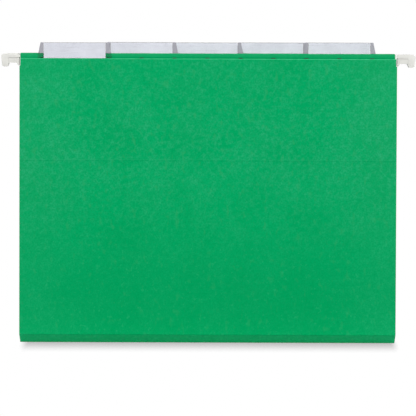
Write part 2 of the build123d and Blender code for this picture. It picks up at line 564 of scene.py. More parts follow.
@dataclass(frozen=True)
class SteelFinish:
    """Rolled steel strip with fine lines along it, dark green inside the hem as painted shade tinted by the
    card's green, and bare at its ends.
    """

    # Painted shade: the dark green of the rod inside the hem, seen in shade through the slots.
    light: Colour = (0.065, 0.165, 0.105)
    dark: Colour = (0.030, 0.105, 0.060)
    bare: Colour = (0.80, 0.80, 0.77)
    lines: Pattern = Pattern((14.0, 3200.0, 3200.0), 3.0, 0.3, 0.7)
    bare_start: float = 147.3 * MM
    bare_fade: float = 0.1 * MM
    roughness: Share = Share(0.42, 0.2)

    def material(self) -> Material:
        """Build the material.

        Returns:
            The material.
        """
        surface = Surface("steel")
        lines = surface.noise(self.lines)
        # Painted shade along the rod inside the hem, bare steel beyond bare_start.
        hem_shade = surface.colours(lines.ramp(self.lines.start, self.lines.end), self.dark, self.light)
        ends = abs(surface.axis("X")).ramp(self.bare_start, self.bare_start + self.bare_fade)
        return surface.finish(
            {
                "Base Color": surface.colours(ends, hem_shade, self.bare),
                "Metallic": 1.0,
                "Roughness": self.roughness.along(lines),
                "Normal": surface.bump(lines, distance=0.01 * MM, strength=0.4),
            }
        )


@dataclass(frozen=True)
class GlueFinish:
    """Dried hot glue, cloudy and amber."""

    amber: Colour = (0.58, 0.50, 0.30)
    milky: Colour = (0.70, 0.65, 0.50)
    clouds: Pattern = Pattern(260.0, 3.0, 0.35, 0.65)
    roughness: Share = Share(0.35, 0.3)

    def material(self) -> Material:
        """Build the material.

        Returns:
            The material.
        """
        surface = Surface("glue")
        clouds = surface.mask(self.clouds)
        return surface.finish(
            {
                "Base Color": surface.colours(clouds, self.amber, self.milky),
                "Roughness": self.roughness.along(clouds),
                "Normal": surface.bump(clouds, distance=0.05 * MM, strength=0.5),
            }
        )


@dataclass(frozen=True)
class Finishes:
    """Every material of the folder, built once."""

    card: Material
    vinyl: Material
    vinyl_edge: Material
    paper: Material
    moulded: Material
    steel: Material
    glue: Material

    @classmethod
    def build(cls) -> "Finishes":
        """Build all the materials.

        Returns:
            The materials by finish.
        """
        cut_edge = VinylFinish(
            name="vinyl_edge",
            tint=(0.20, 0.20, 0.22),
            grey=(0.34, 0.34, 0.37),
            window_alpha=0.25,
            ear_alpha=0.50,
            foot_alpha=0.05,
        )
        return cls(
            card=CardFinish().material(),
            vinyl=VinylFinish().material(),
            vinyl_edge=cut_edge.material(),
            paper=PaperFinish().material(),
            moulded=MouldedFinish().material(),
            steel=SteelFinish().material(),
            glue=GlueFinish().material(),
        )


# Mesh helpers


def new_object(name: str, mesh: bpy.types.Mesh) -> Piece:
    """Link a mesh to the scene as an object at the origin.

    Args:
        name: the object's name.
        mesh: its mesh.

    Returns:
        The object.
    """
    obj = bpy.data.objects.new(name, mesh)
    bpy.context.scene.collection.objects.link(obj)
    return obj


def mesh_from(work: bmesh.types.BMesh, name: str) -> bpy.types.Mesh:
    """Turn working geometry into a mesh, and free it.

    Args:
        work: the working geometry.
        name: the mesh's name.

    Returns:
        The mesh.
    """
    mesh = bpy.data.meshes.new(name)
    work.to_mesh(mesh)
    work.free()
    return mesh


def settle(obj: Piece) -> None:
    """Turn an object's modifiers into a plain mesh and remove them.

    Args:
        obj: the object.
    """
    graph = bpy.context.evaluated_depsgraph_get()
    mesh = bpy.data.meshes.new_from_object(obj.evaluated_get(graph))
    obj.modifiers.clear()
    obj.data = mesh
    mesh.name = obj.name


def smooth(obj: Piece, sharp_angle: float = 32.0) -> None:
    """Shade smooth, with edges steeper than an angle in degrees kept sharp."""
    obj.data.shade_smooth()
    obj.data.set_sharp_from_angle(angle=math.radians(sharp_angle))


def face_outwards(obj: Piece) -> None:
    """Point the faces of a closed mesh outwards.

    Args:
        obj: the object whose mesh is closed.
    """
    work = bmesh.new()
    work.from_mesh(obj.data)
    bmesh.ops.recalc_face_normals(work, faces=work.faces)
    work.to_mesh(obj.data)
    work.free()


def evenly(low: float, high: float, step: float) -> list[float]:
    """Values from low to high, no further apart than a step."""
    pieces = max(1, math.ceil((high - low) / step))
    return [low + (high - low) * index / pieces for index in range(pieces + 1)]


@dataclass(frozen=True)
class Corner:
    """A corner of a folded sheet's section: its place, its bend radius, and its wear with painted
    highlight.
    """

    depth: float
    height: float
    radius: float = 0.0
    wear: float = 0.0

    @property
    def point(self) -> Vector:
        """The corner's place in the section."""
        return Vector((self.depth, self.height))


@dataclass(frozen=True)
class Station:
    """One row of a folded sheet."""

    depth: float
    height: float
    wear: float


def bent(corners: Sequence[Corner], index: int, steps: int) -> list[Station]:
    """Round one corner of a section by its radius.

    Args:
        corners: the section's corners in order.
        index: which corner.
        steps: how many pieces the bend has.

    Returns:
        The stations round the corner, or one at a corner without a radius.
    """
    corner = corners[index]
    if corner.radius == 0.0:
        return [Station(corner.depth, corner.height, corner.wear)]
    back = (corners[index - 1].point - corner.point).normalized()
    ahead = (corners[index + 1].point - corner.point).normalized()
    half = back.angle(ahead) / 2
    reach = corner.radius / math.tan(half)
    centre = corner.point + (back + ahead).normalized() * (corner.radius / math.sin(half))
    first = corner.point + back * reach - centre
    turn = first.angle_signed(corner.point + ahead * reach - centre)
    stations = []
    for count in range(steps + 1):
        spoke = first.copy()
        spoke.rotate(Matrix.Rotation(-turn * count / steps, 2))
        stations.append(Station(*(centre + spoke), corner.wear))
    return stations


def folded_path(corners: Sequence[Corner], step: float, bend_steps: int) -> list[Station]:
    """Follow a folded sheet's section from corner to corner.

    Args:
        corners: the section's corners in order.
        step: the longest straight piece between two stations.
        bend_steps: how many pieces a bend has.

    Returns:
        The stations in order.
    """
    marks = [mark for index in range(len(corners)) for mark in bent(corners, index, bend_steps)]
    stations = marks[:1]
    for start, stop in zip(marks, marks[1:]):
        length = math.dist((start.depth, start.height), (stop.depth, stop.height))
        pieces = max(1, math.ceil(length / step))
        for count in range(1, pieces + 1):
            share = count / pieces
            depth = start.depth + (stop.depth - start.depth) * share
            height = start.height + (stop.height - start.height) * share
            stations.append(Station(depth, height, start.wear + (stop.wear - start.wear) * share))
    return stations


class SheetMesh:
    """A sheet of card or vinyl as rows of points along X, given thickness at the end."""

    def __init__(self) -> None:
        """Start with an empty mesh."""
        self.work = bmesh.new()
        self.layers: dict[str, bmesh.types.BMLayerItem] = {}
        self.last: Row = []

    def row(
        self,
        places: Iterable[Vector],
        values: dict[str, float | Callable[[Vector], float]],
        skip: Callable[[float], bool] | None = None,
    ) -> None:
        """Add one row of points and fill the faces between it and the row before it.

        Args:
            places: the row's points.
            values: each attribute's value, or a function that gives it at a place.
            skip: says by a face's middle in X whether the face is left out.
        """
        for name in values:
            if name not in self.layers:
                self.layers[name] = self.work.verts.layers.float.new(name)
        verts = []
        for place in places:
            vert = self.work.verts.new(place)
            for name, value in values.items():
                vert[self.layers[name]] = value(place) if callable(value) else value
            verts.append(vert)
        for index in range(len(self.last) - 1):
            first, second = self.last[index : index + 2]
            if skip is None or not skip((first.co.x + second.co.x) / 2):
                self.work.faces.new((first, second, verts[index + 1], verts[index]))
        self.last = verts

    def finish(
        self, name: str, thickness: float, materials: Sequence[Material]
    ) -> Piece:
        """Close the sheet into a solid of even thickness about its middle surface.

        Args:
            name: the object's name.
            thickness: the sheet's thickness.
            materials: the face's material and, if there are two, the cut edge's.

        Returns:
            The finished object.
        """
        loose = [vert for vert in self.work.verts if not vert.link_faces]
        bmesh.ops.delete(self.work, geom=loose, context="VERTS")
        obj = new_object(name, mesh_from(self.work, name))
        for material in materials:
            obj.data.materials.append(material)
        solid = obj.modifiers.new("thickness", "SOLIDIFY")
        solid.thickness = thickness
        solid.offset = 0.0
        solid.use_even_offset = True
        solid.use_quality_normals = True
        solid.material_offset_rim = len(materials) - 1
        settle(obj)
        face_outwards(obj)
        smooth(obj)
        return obj


# The folder's own frame


@dataclass(frozen=True)
class FolderFrame:
    """Sizes that the pieces share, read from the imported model."""

    half_width: float
    leaf_depth: float
    hem_depth: float
    crest: float
    score_height: float
    fold_height: float
    glue_top: float
    glue_bottom: float
    card: float = 0.3 * MM
    crease_half: float = 0.9 * MM
    slot_pitch: float = 26.05 * MM
    slot_row_shift: float = -0.65 * MM
    slot_count: int = 11

    @classmethod
    def read(cls) -> "FolderFrame":
        """Read the sizes from the CAD nodes and joints.

        Returns:
            The sizes.
        """
        low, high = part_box("rear_panel")
        rod_low, rod_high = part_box("rear_hanger_rod")
        glue_low, glue_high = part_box("rear_hem_glue")
        joints = {joint["name"]: joint for joint in frame["joints"]}
        return cls(
            half_width=high.x,
            leaf_depth=joints["rear_score"]["pos_m"][1],
            hem_depth=(rod_low.y + rod_high.y) / 2,
            crest=high.z,
            score_height=joints["rear_score"]["pos_m"][2],
            fold_height=joints["bottom_fold"]["pos_m"][2],
            glue_top=glue_high.z,
            glue_bottom=glue_low.z,
        )

    @property
    def slots(self) -> list[float]:
        """The middles of the slots along X."""
        steps = (index - (self.slot_count - 1) / 2 for index in range(self.slot_count))
        return [self.slot_row_shift + step * self.slot_pitch for step in steps]

    def strip_point(self, side: Side, along: float) -> Vector:
        """Find a point on a bottom strip.

        Args:
            side: which leaf's strip.
            along: the distance from its score towards the bottom fold.

        Returns:
            The point in Y and Z.
        """
        score = Vector((side.value * self.leaf_depth, self.score_height))
        fold = Vector((0.0, self.fold_height))
        return score + (fold - score).normalized() * along

    @property
    def strip_length(self) -> float:
        """The distance from a score to the bottom fold."""
        return math.hypot(self.leaf_depth, self.score_height - self.fold_height)


# The card


@dataclass
class CardLeaf:
    """One leaf: a sheet of card, slotted on two ledges and folded over its rod."""

    side: Side
    shape: FolderFrame
    finishes: Finishes
    column_step: float = 5.0 * MM
    row_step: float = 5.0 * MM
    bend_steps: int = 6
    ledge_drop: float = 4.05 * MM
    ledge_width: float = 0.8 * MM
    ledge_bend: float = 0.25 * MM
    bend_share: float = 0.9
    # Wear and painted highlight on the rounded edge of the ledge, fading out over a short height below it.
    ledge_wear_and_highlight: float = 1.0
    crest_share: float = 0.999
    # Wear and painted highlight along the crest.
    crest_wear_and_highlight: float = 0.25
    rub_and_highlight_height: float = 0.8 * MM
    slot_rise: float = 0.7 * MM
    slot_length: float = 3.2 * MM
    side_trim: float = 0.7 * MM
    strip_trim: float = 1.6 * MM
    trim_bottom: float = -2.2 * MM
    trim_step: float = 0.05 * MM
    end_spare: float = 0.002 * MM
    flap_slant: float = 4.0 * MM
    flap_bend: float = 3.0 * MM
    glue_thickness: float = 0.15 * MM
    bow: float = 0.22 * MM
    bow_scale: float = 9.0
    bow_shift: float = 3.0
    tolerance: float = 0.01 * MM

    @property
    def ledge_top(self) -> float:
        """The height of the slotted ledges."""
        return self.shape.crest - self.ledge_drop

    def stations(self) -> list[Station]:
        """Follow the sheet's middle section, from above the score to the glued edge of the flap.

        Returns:
            The rows of the sheet in order.
        """
        shape = self.shape
        half_card = shape.card / 2
        outer = shape.leaf_depth
        strip = outer - self.ledge_width
        inner_strip = 2 * shape.hem_depth - strip
        flap = 2 * shape.hem_depth - outer
        ledge = self.ledge_top - half_card
        slot_top = self.ledge_top + self.slot_rise
        crest = shape.crest - half_card
        crest_bend = (strip - inner_strip) / 2 * self.crest_share
        glued = outer - shape.card - self.glue_thickness
        rub_and_highlight_foot = self.ledge_top - self.rub_and_highlight_height
        trim_top = self.trim_bottom + self.trim_step
        outer_face = [
            Corner(outer, shape.score_height + shape.crease_half),
            Corner(outer, self.trim_bottom),
            Corner(outer, trim_top),
            Corner(outer, rub_and_highlight_foot),
            Corner(outer, ledge, self.ledge_bend, self.ledge_wear_and_highlight),
            Corner(strip, ledge, self.ledge_bend),
            Corner(strip, slot_top),
            Corner(strip, crest, crest_bend, self.crest_wear_and_highlight),
        ]
        inner_face = [
            Corner(inner_strip, crest, crest_bend, self.crest_wear_and_highlight),
            Corner(inner_strip, slot_top),
            Corner(inner_strip, ledge, self.ledge_bend),
            Corner(flap, ledge, self.ledge_bend, self.ledge_wear_and_highlight),
            Corner(flap, rub_and_highlight_foot),
            Corner(flap, trim_top),
            Corner(flap, self.trim_bottom),
            Corner(flap, shape.glue_top + self.flap_slant, self.flap_bend),
            Corner(glued, shape.glue_top, self.flap_bend),
            Corner(glued, shape.glue_bottom),
        ]
        return folded_path(outer_face + inner_face, self.row_step, self.bend_steps)

    def columns(self) -> list[float]:
        """Space the sheet's columns, with one at each end of a slot.

        Returns:
            Their places along X.
        """
        edges = {self.side_trim - self.shape.half_width, self.shape.half_width - self.strip_trim}
        for middle in self.shape.slots:
            edges.update((middle - self.slot_length / 2, middle + self.slot_length / 2))
        marks = sorted(edges)
        columns = [marks[0]]
        for low, high in zip(marks, marks[1:]):
            columns += evenly(low, high, self.column_step)[1:]
        return columns

    def ends(self, height: float) -> Point2:
        """Find where a row ends: the hem is cut back, and its strip more at the right.

        Args:
            height: the row's height.

        Returns:
            The left and the right end.
        """
        half = self.shape.half_width
        if height < self.trim_bottom + self.tolerance:
            return -half, half
        left = self.side_trim - self.end_spare - half
        on_strip = height > self.ledge_top
        return left, half - (self.strip_trim - self.end_spare if on_strip else self.side_trim)

    def bulge(self, x: float, z: float) -> float:
        """Find how far the flat leaf bows out, fading towards its folds.

        Args:
            x: the place across the leaf.
            z: the place's height.

        Returns:
            The distance outwards.
        """
        low = self.shape.score_height
        share = (z - low) / (self.shape.glue_bottom - low)
        if not 0.0 < share < 1.0:
            return 0.0
        wave = Vector((x * self.bow_scale, self.side.value * self.bow_shift, z * self.bow_scale))
        return self.bow * math.sin(math.pi * share) * noise.noise(wave)

    def place(self, x: float, station: Station) -> Vector:
        """Place one point of the sheet.

        Args:
            x: its place across the leaf.
            station: its row.

        Returns:
            The point.
        """
        outside = station.depth >= self.shape.leaf_depth - self.tolerance
        depth = station.depth + (self.bulge(x, station.height) if outside else 0.0)
        return Vector((x, self.side.value * depth, station.height))

    def marks(self, station: Station) -> dict[str, float]:
        """Say a row's wear and painted highlight, whether it lies on the darker hem strip, and whether it
        takes the painted shade of the groove.

        Args:
            station: the row.

        Returns:
            The attributes' values.
        """
        strip = self.shape.leaf_depth - self.ledge_width
        reach = abs(strip - self.shape.hem_depth) + self.ledge_bend * self.bend_share
        near_rod = abs(station.depth - self.shape.hem_depth) < reach
        on_strip = station.height > self.ledge_top and near_rod
        in_groove = on_strip and station.height < self.ledge_top + self.slot_rise / 2
        return {"wear": station.wear, "pressed": float(on_strip), "groove": float(in_groove)}

    def in_slot(self, x: float) -> bool:
        """True between the ends of a slot."""
        return any(abs(x - middle) < self.slot_length / 2 for middle in self.shape.slots)

    def crosses_slots(self, first: Station, second: Station) -> bool:
        """Say whether the slots lie between two rows.

        Args:
            first: one row.
            second: the next row.

        Returns:
            True if they do.
        """
        reach = self.shape.leaf_depth - self.shape.hem_depth - self.ledge_bend * self.bend_share
        depth = (first.depth + second.depth) / 2
        height = (first.height + second.height) / 2
        return abs(height - self.ledge_top) < self.slot_rise and abs(depth - self.shape.hem_depth) < reach

    def build(self) -> Piece:
        """Build the sheet, and let it ride on its leaf in place of the plain panel.

        Returns:
            The leaf.
        """
        sheet = SheetMesh()
        columns = self.columns()
        stations = self.stations()
        for last, station in zip(stations[:1] + stations, stations):
            left, right = self.ends(station.height)
            places = [self.place(x, station) for x in (left, *columns, right)]
            cut = self.crosses_slots(last, station)
            sheet.row(places, self.marks(station), self.in_slot if cut else None)
        leaf = sheet.finish(f"{self.side.word}_card_leaf", self.shape.card, [self.finishes.card])
        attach(leaf, f"{self.side.word}_leaf")
        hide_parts(f"{self.side.word}_panel")
        return leaf


@dataclass
class CardBottom:
    """The two bottom strips and the three creases that join them to the leaves."""

    shape: FolderFrame
    finishes: Finishes
    column_step: float = 6.0 * MM
    row_step: float = 1.5 * MM
    bend_steps: int = 8
    crease_bend: float = 0.4 * MM
    # Wear with painted light: lightens the bottom strips and creases, standing in for light from below.
    wear: float = 0.2
    taper: float = 0.5 * MM

    def sheet(self, name: str, corners: Sequence[Corner]) -> Piece:
        """Build a strip of card along X.

        Args:
            name: the piece's name.
            corners: its section in Y and Z.

        Returns:
            The strip.
        """
        shape = self.shape
        work = SheetMesh()
        for station in folded_path(corners, self.row_step, self.bend_steps):
            share = (shape.score_height - station.height) / (shape.score_height - shape.fold_height)
            half = shape.half_width - self.taper * max(0.0, share)
            columns = evenly(-half, half, self.column_step)
            places = [Vector((x, station.depth, station.height)) for x in columns]
            work.row(places, {"wear": station.wear})
        obj = work.finish(name, shape.card, [self.finishes.card])
        return obj

    def strip(self, side: Side) -> Piece:
        """Build one flat bottom strip between its two creases.

        Args:
            side: the leaf that it belongs to.

        Returns:
            The strip.
        """
        shape = self.shape
        start = shape.strip_point(side, shape.crease_half)
        stop = shape.strip_point(side, shape.strip_length - shape.crease_half)
        corners = [Corner(*start, wear=self.wear), Corner(*stop, wear=self.wear)]
        obj = self.sheet(f"{side.word}_card_strip", corners)
        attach(obj, f"{side.word}_bottom")
        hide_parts(f"{side.word}_bottom_strip")
        return obj

    def score(self, side: Side) -> Piece:
        """Build the crease between a leaf and its bottom strip.

        Args:
            side: the leaf.

        Returns:
            The crease.
        """
        shape = self.shape
        depth = side.value * shape.leaf_depth
        start = Vector((depth, shape.score_height + shape.crease_half))
        stop = shape.strip_point(side, shape.crease_half)
        corners = [
            Corner(*start),
            Corner(depth, shape.score_height, self.crease_bend),
            Corner(*stop, wear=self.wear),
        ]
        obj = self.sheet(f"{side.word}_score_crease", corners)
        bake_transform(obj)
        return obj

    def fold(self) -> Piece:
        """Build the crease at the very bottom.

        Returns:
            The crease.
        """
        shape = self.shape
        start = shape.strip_point(Side.REAR, shape.strip_length - shape.crease_half)
        stop = shape.strip_point(Side.FRONT, shape.strip_length - shape.crease_half)
        corners = [
            Corner(*start, wear=self.wear),
            Corner(0.0, shape.fold_height, self.crease_bend, self.wear),
            Corner(*stop, wear=self.wear),
        ]
        obj = self.sheet("bottom_fold_crease", corners)
        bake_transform(obj)
        return obj

    def build(self) -> list[Piece]:
        """Build the strips and the creases.

        Returns:
            The five pieces.
        """
        pieces = []
        for side in Side:
            pieces.append(self.strip(side))
            pieces.append(self.score(side))
        pieces.append(self.fold())
        return pieces


# Rods, tips and glue


@dataclass
class Hanger:
    """One rod with its two moulded hook tips and the glue line of its hem."""

    side: Side
    finishes: Finishes
    edge_round: float = 0.22 * MM
    edge_steps: int = 3
    edge_angle: float = 40.0
    flat_angle: float = 1.0
    merge_distance: float = 0.001 * MM

    def tip(self, end: str) -> Piece:
        """Build a hook tip with softened moulded edges, in place of the plain one.

        Args:
            end: left or right.

        Returns:
            The tip.
        """
        node = f"{self.side.word}_{end}_hook_tip"
        work = bmesh.new()
        work.from_mesh(frame["nodes"][node].data)
        bmesh.ops.remove_doubles(work, verts=work.verts, dist=self.merge_distance)
        flat = math.radians(self.flat_angle)
        bmesh.ops.dissolve_limit(work, angle_limit=flat, verts=work.verts, edges=work.edges)
        tip = new_object(f"{node}_moulding", mesh_from(work, f"{node}_moulding"))
        tip.data.materials.append(self.finishes.moulded)
        bevel = tip.modifiers.new("soft_edges", "BEVEL")
        bevel.width = self.edge_round
        bevel.segments = self.edge_steps
        bevel.limit_method = "ANGLE"
        bevel.angle_limit = math.radians(self.edge_angle)
        bevel.harden_normals = False
        settle(tip)
        smooth(tip, self.edge_angle)
        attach(tip, f"{self.side.word}_leaf")
        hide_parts(node)
        return tip

    @staticmethod
    def dress(node: str, material: Material) -> None:
        """Give a CAD node that stays in view its own material."""
        for slot in frame["nodes"][node].material_slots:
            slot.material = material

    def build(self) -> list[Piece]:
        """Build the tips, and dress the rod and the glue.

        Returns:
            The two tips.
        """
        self.dress(f"{self.side.word}_hanger_rod", self.finishes.steel)
        self.dress(f"{self.side.word}_hem_glue", self.finishes.glue)
        return [self.tip(end) for end in ("left", "right")]


# Tabs and label inserts


@dataclass
class IndexTab:
    """A clear tab folded at its top, with two tongues in the hem's slots."""

    place: str
    side: Side
    shape: FolderFrame
    finishes: Finishes
    vinyl: float = 0.25 * MM
    side_slope: float = 2.7 * MM
    corner: float = 0.5 * MM
    tongue_width: float = 1.4 * MM
    tongue_length: float = 7.05 * MM
    tongue_round: float = 0.5 * MM
    round_steps: int = 5
    column_step: float = 4.0 * MM
    row_step: float = 2.0 * MM
    fold_steps: int = 10
    ear_edge: float = 0.06 * MM
    fold_grey: float = 0.3
    tolerance: float = 0.01 * MM

    def __post_init__(self) -> None:
        """Read the tab's and its label's boxes."""
        self.low, self.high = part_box(f"tab_{self.place}")
        self.label_low, self.label_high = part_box(f"label_insert_{self.place}")
        self.middle = (self.low + self.high) / 2
        self.label_half = (self.label_high.x - self.label_low.x) / 2
        self.base = self.low.z + self.tongue_length
        self.bend = (self.high.y - self.low.y - self.vinyl) / 2

    def half_width(self, height: float) -> float:
        """Find half the tab's width, with rounded upper corners.

        Args:
            height: where on the tab.

        Returns:
            Half the width there.
        """
        share = (height - self.base) / (self.high.z - self.base)
        width = (self.high.x - self.low.x) / 2 - self.side_slope * share
        above = height - (self.high.z - self.corner)
        if above > 0.0:
            width -= self.corner - math.sqrt(max(0.0, self.corner**2 - above**2))
        return width

    def columns(self, height: float) -> list[float]:
        """Space the columns of a row, with one at each edge of a tongue.

        Args:
            height: the row's height.

        Returns:
            Their places along X, counted from the tab's middle.
        """
        ear_start = self.label_half + self.ear_edge
        at_base = self.half_width(self.base) - ear_start
        tongue = [self.shape.slot_pitch + side * self.tongue_width / 2 for side in (-1, 1)]
        shares = [0.0, *((edge - ear_start) / at_base for edge in tongue), 1.0]
        right = [ear_start + (self.half_width(height) - ear_start) * share for share in shares]
        label = evenly(-self.label_half, self.label_half, self.column_step)
        return [-x for x in reversed(right)] + label + right

    def section(self) -> list[Point2]:
        """Follow the tab up its first leaf, over the fold and down the second.

        Returns:
            The depth and the height of each row.
        """
        fold_base = self.high.z - self.bend - self.vinyl / 2
        crest = [self.shape.crest - self.ear_edge, self.shape.crest + self.ear_edge]
        leaf = sorted([*evenly(self.base, self.label_high.z, self.row_step), *crest, fold_base])
        rows = [(-self.bend, height) for height in leaf]
        for count in range(1, self.fold_steps):
            angle = math.pi * count / self.fold_steps
            rows.append((-self.bend * math.cos(angle), fold_base + self.bend * math.sin(angle)))
        return rows + [(self.bend, height) for height in reversed(leaf)]

    def ear(self, place: Vector) -> float:
        """Say how grey the vinyl is: 1 beside the label, less in the fold above it, 0 in front of it.

        Args:
            place: a point of the tab.

        Returns:
            The greyness there.
        """
        if abs(place.x - self.middle.x) > self.label_half + self.ear_edge / 2:
            return 1.0
        return self.fold_grey if place.z > self.label_high.z + self.ear_edge / 2 else 0.0

    def foot(self, place: Vector) -> float:
        """1 below the hem's crest, 0 above it."""
        return 1.0 if place.z < self.shape.crest else 0.0

    def build(self) -> Piece:
        """Build the folded vinyl, and let it ride on its own body.

        Returns:
            The tab.
        """
        node = f"tab_{self.place}"
        towards_hem = 1.0 if self.side.value * self.shape.hem_depth > self.middle.y else -1.0
        sheet = SheetMesh()
        for depth, height in self.section():
            y = self.middle.y + towards_hem * depth
            places = [Vector((self.middle.x + x, y, height)) for x in self.columns(height)]
            sheet.row(places, {"ear": self.ear, "foot": self.foot})
        lower_edge = sheet.last
        for sign in (-1, 1):
            self.tongue(sheet, lower_edge, self.middle.x + sign * self.shape.slot_pitch)
        tab = sheet.finish(f"{node}_vinyl", self.vinyl, [self.finishes.vinyl, self.finishes.vinyl_edge])
        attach(tab, f"{self.place}_tab")
        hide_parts(node)
        return tab

    def tongue(self, sheet: SheetMesh, row: Row, centre: float) -> None:
        """Carry the lower edge nearest to the hem on as a tongue with rounded lower corners.

        Args:
            sheet: the tab's sheet.
            row: its lower edge.
            centre: the tongue's middle in X.
        """
        half = self.tongue_width / 2
        foot = self.low.z
        top = [vert for vert in row if abs(vert.co.x - centre) < half + self.tolerance]
        heights = evenly(foot + self.tongue_round, self.base, self.row_step)[-2::-1]
        for count in range(1, self.round_steps + 1):
            angle = math.pi / 2 * count / self.round_steps
            heights.append(foot + self.tongue_round * (1.0 - math.sin(angle)))
        sheet.last = top
        for height in heights:
            below = self.tongue_round - min(self.tongue_round, height - foot)
            width = half - (self.tongue_round - math.sqrt(self.tongue_round**2 - below**2))
            across = [centre + (vert.co.x - centre) * width / half for vert in top]
            places = [Vector((x, vert.co.y, height)) for x, vert in zip(across, top)]
            sheet.row(places, {"ear": self.ear, "foot": self.foot})


class GeometryTree(Graph):
    """A Geometry Nodes tree with named inputs that ends in real, dressed geometry."""

    def __init__(self, name: str, inputs: dict[str, str]) -> None:
        """Make the tree.

        Args:
            name: the tree's name.
            inputs: each input's name and socket type.
        """
        tree = bpy.data.node_groups.new(name, "GeometryNodeTree")
        super().__init__(tree)
        tree.interface.new_socket("Geometry", in_out="OUTPUT", socket_type="NodeSocketGeometry")
        for label, kind in inputs.items():
            tree.interface.new_socket(label, in_out="INPUT", socket_type=kind)
        self.group = self.add("NodeGroupInput")

    def given(self, name: str) -> Value:
        """One of the tree's inputs."""
        return self.out(self.group, name)

    def vector(self, x: object = 0.0, y: object = 0.0, z: object = 0.0) -> Value:
        """A vector from three values."""
        return self.value("ShaderNodeCombineXYZ", inputs={"X": x, "Y": y, "Z": z})

    def close(self, geometry: Value, material: Material) -> None:
        """Realize the instances, set the material and end the tree.

        Args:
            geometry: the tree's result.
            material: its material.
        """
        real = self.value("GeometryNodeRealizeInstances", inputs={"Geometry": geometry})
        dressed = self.value("GeometryNodeSetMaterial", inputs={"Geometry": real, "Material": material})
        self.add("NodeGroupOutput", inputs={"Geometry": dressed})

    def piece(self, name: str, values: dict[str, object]) -> Piece:
        """Run the tree and keep the result as a plain mesh.

        Args:
            name: the object's name.
            values: the value of each input by its name.

        Returns:
            The object.
        """
        obj = new_object(name, bpy.data.meshes.new(name))
        modifier = obj.modifiers.new("nodes", "NODES")
        modifier.node_group = self.tree
        for item in self.tree.interface.items_tree:
            if item.in_out == "INPUT" and item.name in values:
                modifier[item.identifier] = values[item.name]
        settle(obj)
        return obj


class InsertTree(GeometryTree):
    """A paper slip with the torn nibs of its perforated ends."""

    SLIP_GRID = {"Vertices X": 14, "Vertices Y": 2, "Vertices Z": 5}
    NIB_THICKNESS = 0.9
    NIB_HEIGHT = 0.45
    TEAR = {"Min": (0.5, 1.0, 0.7), "Max": (1.0, 1.0, 1.2)}
    FIRST_SEED = 7

    def __init__(self, material: Material) -> None:
        """Build the tree.

        Args:
            material: the paper.
        """
        super().__init__(
            "label_slip",
            {
                "Centre": "NodeSocketVector",
                "Width": "NodeSocketFloat",
                "Height": "NodeSocketFloat",
                "Thickness": "NodeSocketFloat",
                "Nib Count": "NodeSocketInt",
                "Nib Length": "NodeSocketFloat",
            },
        )
        width, thickness, length = self.given("Width"), self.given("Thickness"), self.given("Nib Length")
        slip_size = self.vector(width - 2.0 * length, thickness, self.given("Height"))
        slip = self.value("GeometryNodeMeshCube", inputs={"Size": slip_size, **self.SLIP_GRID})
        step = self.given("Height") / self.given("Nib Count")
        nib_size = self.vector(length, thickness * self.NIB_THICKNESS, step * self.NIB_HEIGHT)
        nib = self.value("GeometryNodeMeshCube", inputs={"Size": nib_size})
        parts = [slip]
        for index, sign in enumerate((-1.0, 1.0)):
            parts.append(self.torn_end(sign, self.FIRST_SEED + index, step, nib))
        joined = self.add("GeometryNodeJoinGeometry")
        for part in parts:
            self.tree.links.new(part.socket, joined.inputs[0])
        place = {"Geometry": self.out(joined), "Translation": self.given("Centre")}
        self.close(self.value("GeometryNodeTransform", inputs=place), material)

    def torn_end(self, sign: float, seed: int, step: Value, nib: Value) -> Value:
        """Set a row of torn nibs along one end of the slip.

        Args:
            sign: -1 at the left end, 1 at the right end.
            seed: the seed of the tear.
            step: the distance between two nibs.
            nib: the shape of one nib.

        Returns:
            The nibs as instances.
        """
        inset = self.given("Width") - self.given("Nib Length")
        start = self.vector(inset * (0.5 * sign), 0.0, (step - self.given("Height")) * 0.5)
        row = {"Count": self.given("Nib Count"), "Start Location": start, "Offset": self.vector(z=step)}
        points = self.value("GeometryNodeMeshLine", {"mode": "OFFSET"}, row)
        random = {**self.TEAR, "Seed": seed}
        tear = self.value("FunctionNodeRandomValue", {"data_type": "FLOAT_VECTOR"}, random)
        inputs = {"Points": points, "Instance": nib, "Scale": tear}
        return self.value("GeometryNodeInstanceOnPoints", inputs=inputs)


@dataclass
class LabelInsert:
    """The paper slip inside a tab."""

    place: str
    nib_count: int = 9
    nib_length: float = 0.3 * MM

    def build(self, tree: InsertTree) -> Piece:
        """Build the slip, and let it ride on its own body.

        Args:
            tree: the tree that makes slips.

        Returns:
            The slip.
        """
        node = f"label_insert_{self.place}"
        low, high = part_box(node)
        size = high - low
        slip = tree.piece(
            f"{node}_slip",
            {
                "Centre": (low + high) / 2,
                "Width": size.x,
                "Height": size.z,
                "Thickness": size.y,
                "Nib Count": self.nib_count,
                "Nib Length": self.nib_length,
            },
        )
        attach(slip, f"{self.place}_label")
        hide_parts(node)
        return slip


# The studio


@dataclass(frozen=True)
class Lamp:
    """A soft square studio light."""

    name: str
    place: Triple
    size: float
    watts: float
    mirrored: bool = True

    def build(self, aim: Triple) -> None:
        """Hang the lamp, and keep it out of shiny surfaces if it is not to be mirrored there.

        Args:
            aim: the point that it shines at.
        """
        data = bpy.data.lights.new(self.name, "AREA")
        data.shape = "SQUARE"
        data.size = self.size
        data.energy = self.watts
        lamp = bpy.data.objects.new(self.name, data)
        lamp.location = self.place
        towards = Vector(aim) - Vector(self.place)
        lamp.rotation_euler = towards.to_track_quat("-Z", "Y").to_euler()
        lamp.visible_camera = False
        lamp.visible_glossy = self.mirrored
        bpy.context.scene.collection.objects.link(lamp)


